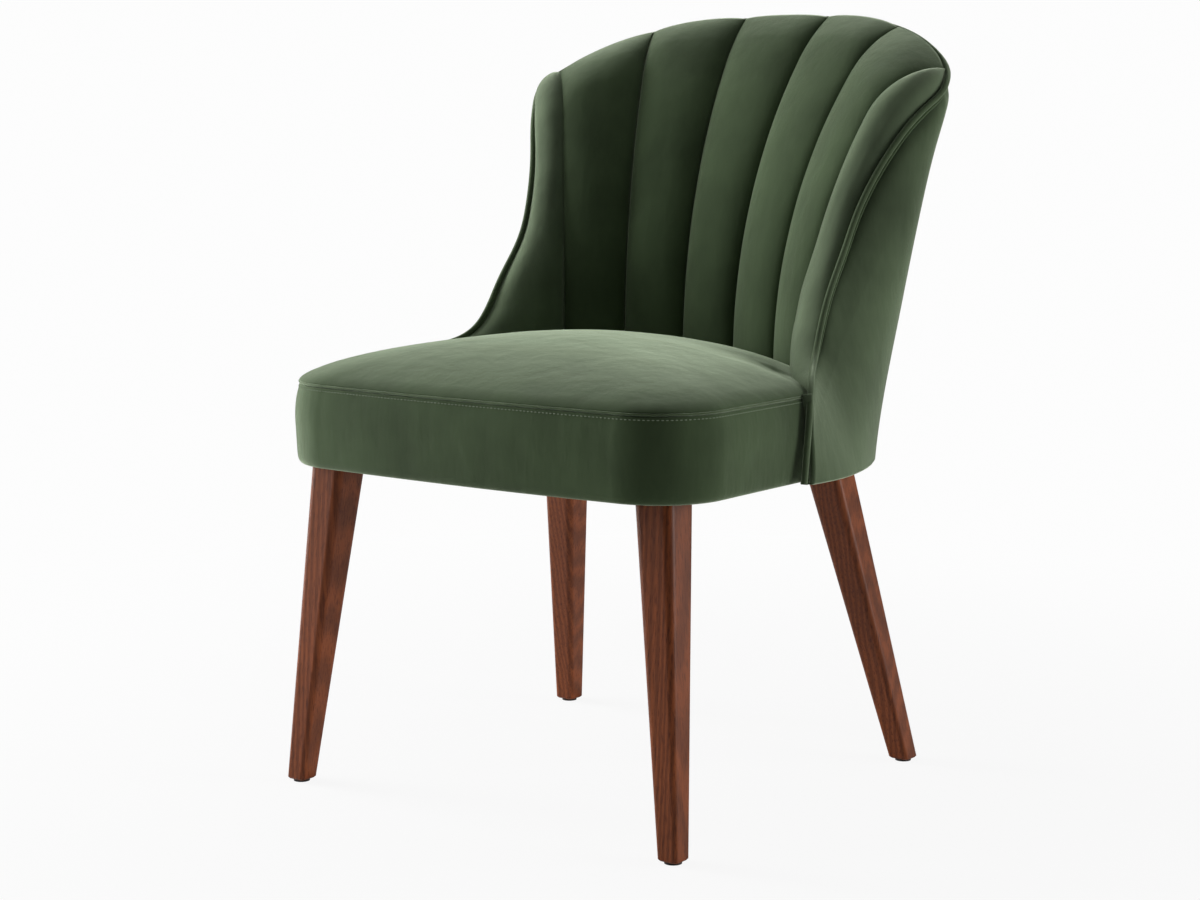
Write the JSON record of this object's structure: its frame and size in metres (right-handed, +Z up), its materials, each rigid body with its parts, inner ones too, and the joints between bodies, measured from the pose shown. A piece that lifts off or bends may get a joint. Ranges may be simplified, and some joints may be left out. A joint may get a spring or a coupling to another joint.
{
  "type": "upholstered chair",
  "caption": "Dining chair with a channelled barrel back, a crowned seat and splayed tapered wooden legs.",
  "frame": {"origin": "on the floor under the middle of the chair's overall width and depth", "axes": "+X across the seat to the sitter's left, +Y to the rear, so that the sitter faces -Y, +Z up"},
  "size_m": [0.5878, 0.6312, 0.8493],
  "materials": {
    "velvet": "cut pile velvet, dark green",
    "piping_velvet": "velvet sewn over a cord",
    "walnut": "satin lacquered walnut",
    "frame_beech": "sawn and planed beech",
    "plywood": "bent plywood",
    "foam": null,
    "webbing": "woven elastic webbing",
    "lining": "thin black non-woven lining",
    "zinc_steel": "zinc plated",
    "glide_nylon": "moulded nylon"
  },
  "bodies": {
    "root": {"front_right_leg": "walnut", "front_left_leg": "walnut", "rear_right_leg": "walnut", "rear_left_leg": "walnut", "foot_glides": "glide_nylon", "front_rail": "frame_beech", "right_rail": "frame_beech", "left_rail": "frame_beech", "rear_rail": "frame_beech", "front_right_corner_block": "frame_beech", "front_left_corner_block": "frame_beech", "leg_studs": "zinc_steel", "leg_nuts": "zinc_steel", "leg_washers": "zinc_steel", "long_webbing": "webbing", "cross_webbing": "webbing", "seat_foam": "foam", "seat_top_cover": "velvet", "seat_band": "velvet", "seat_edge_pad": "foam", "seat_piping": "piping_velvet", "dust_cover": "lining", "channel_centre": "velvet", "channel_inner_right": "velvet", "channel_inner_left": "velvet", "channel_outer_right": "velvet", "channel_outer_left": "velvet", "wing_right": "velvet", "wing_left": "velvet", "outer_back_cover": "velvet", "outer_back_pad": "foam", "back_panel": "plywood", "crest_rail": "frame_beech", "right_upright": "frame_beech", "left_upright": "frame_beech", "right_wing_base": "frame_beech", "left_wing_base": "frame_beech", "back_piping": "piping_velvet"}
  },
  "joints": []
}
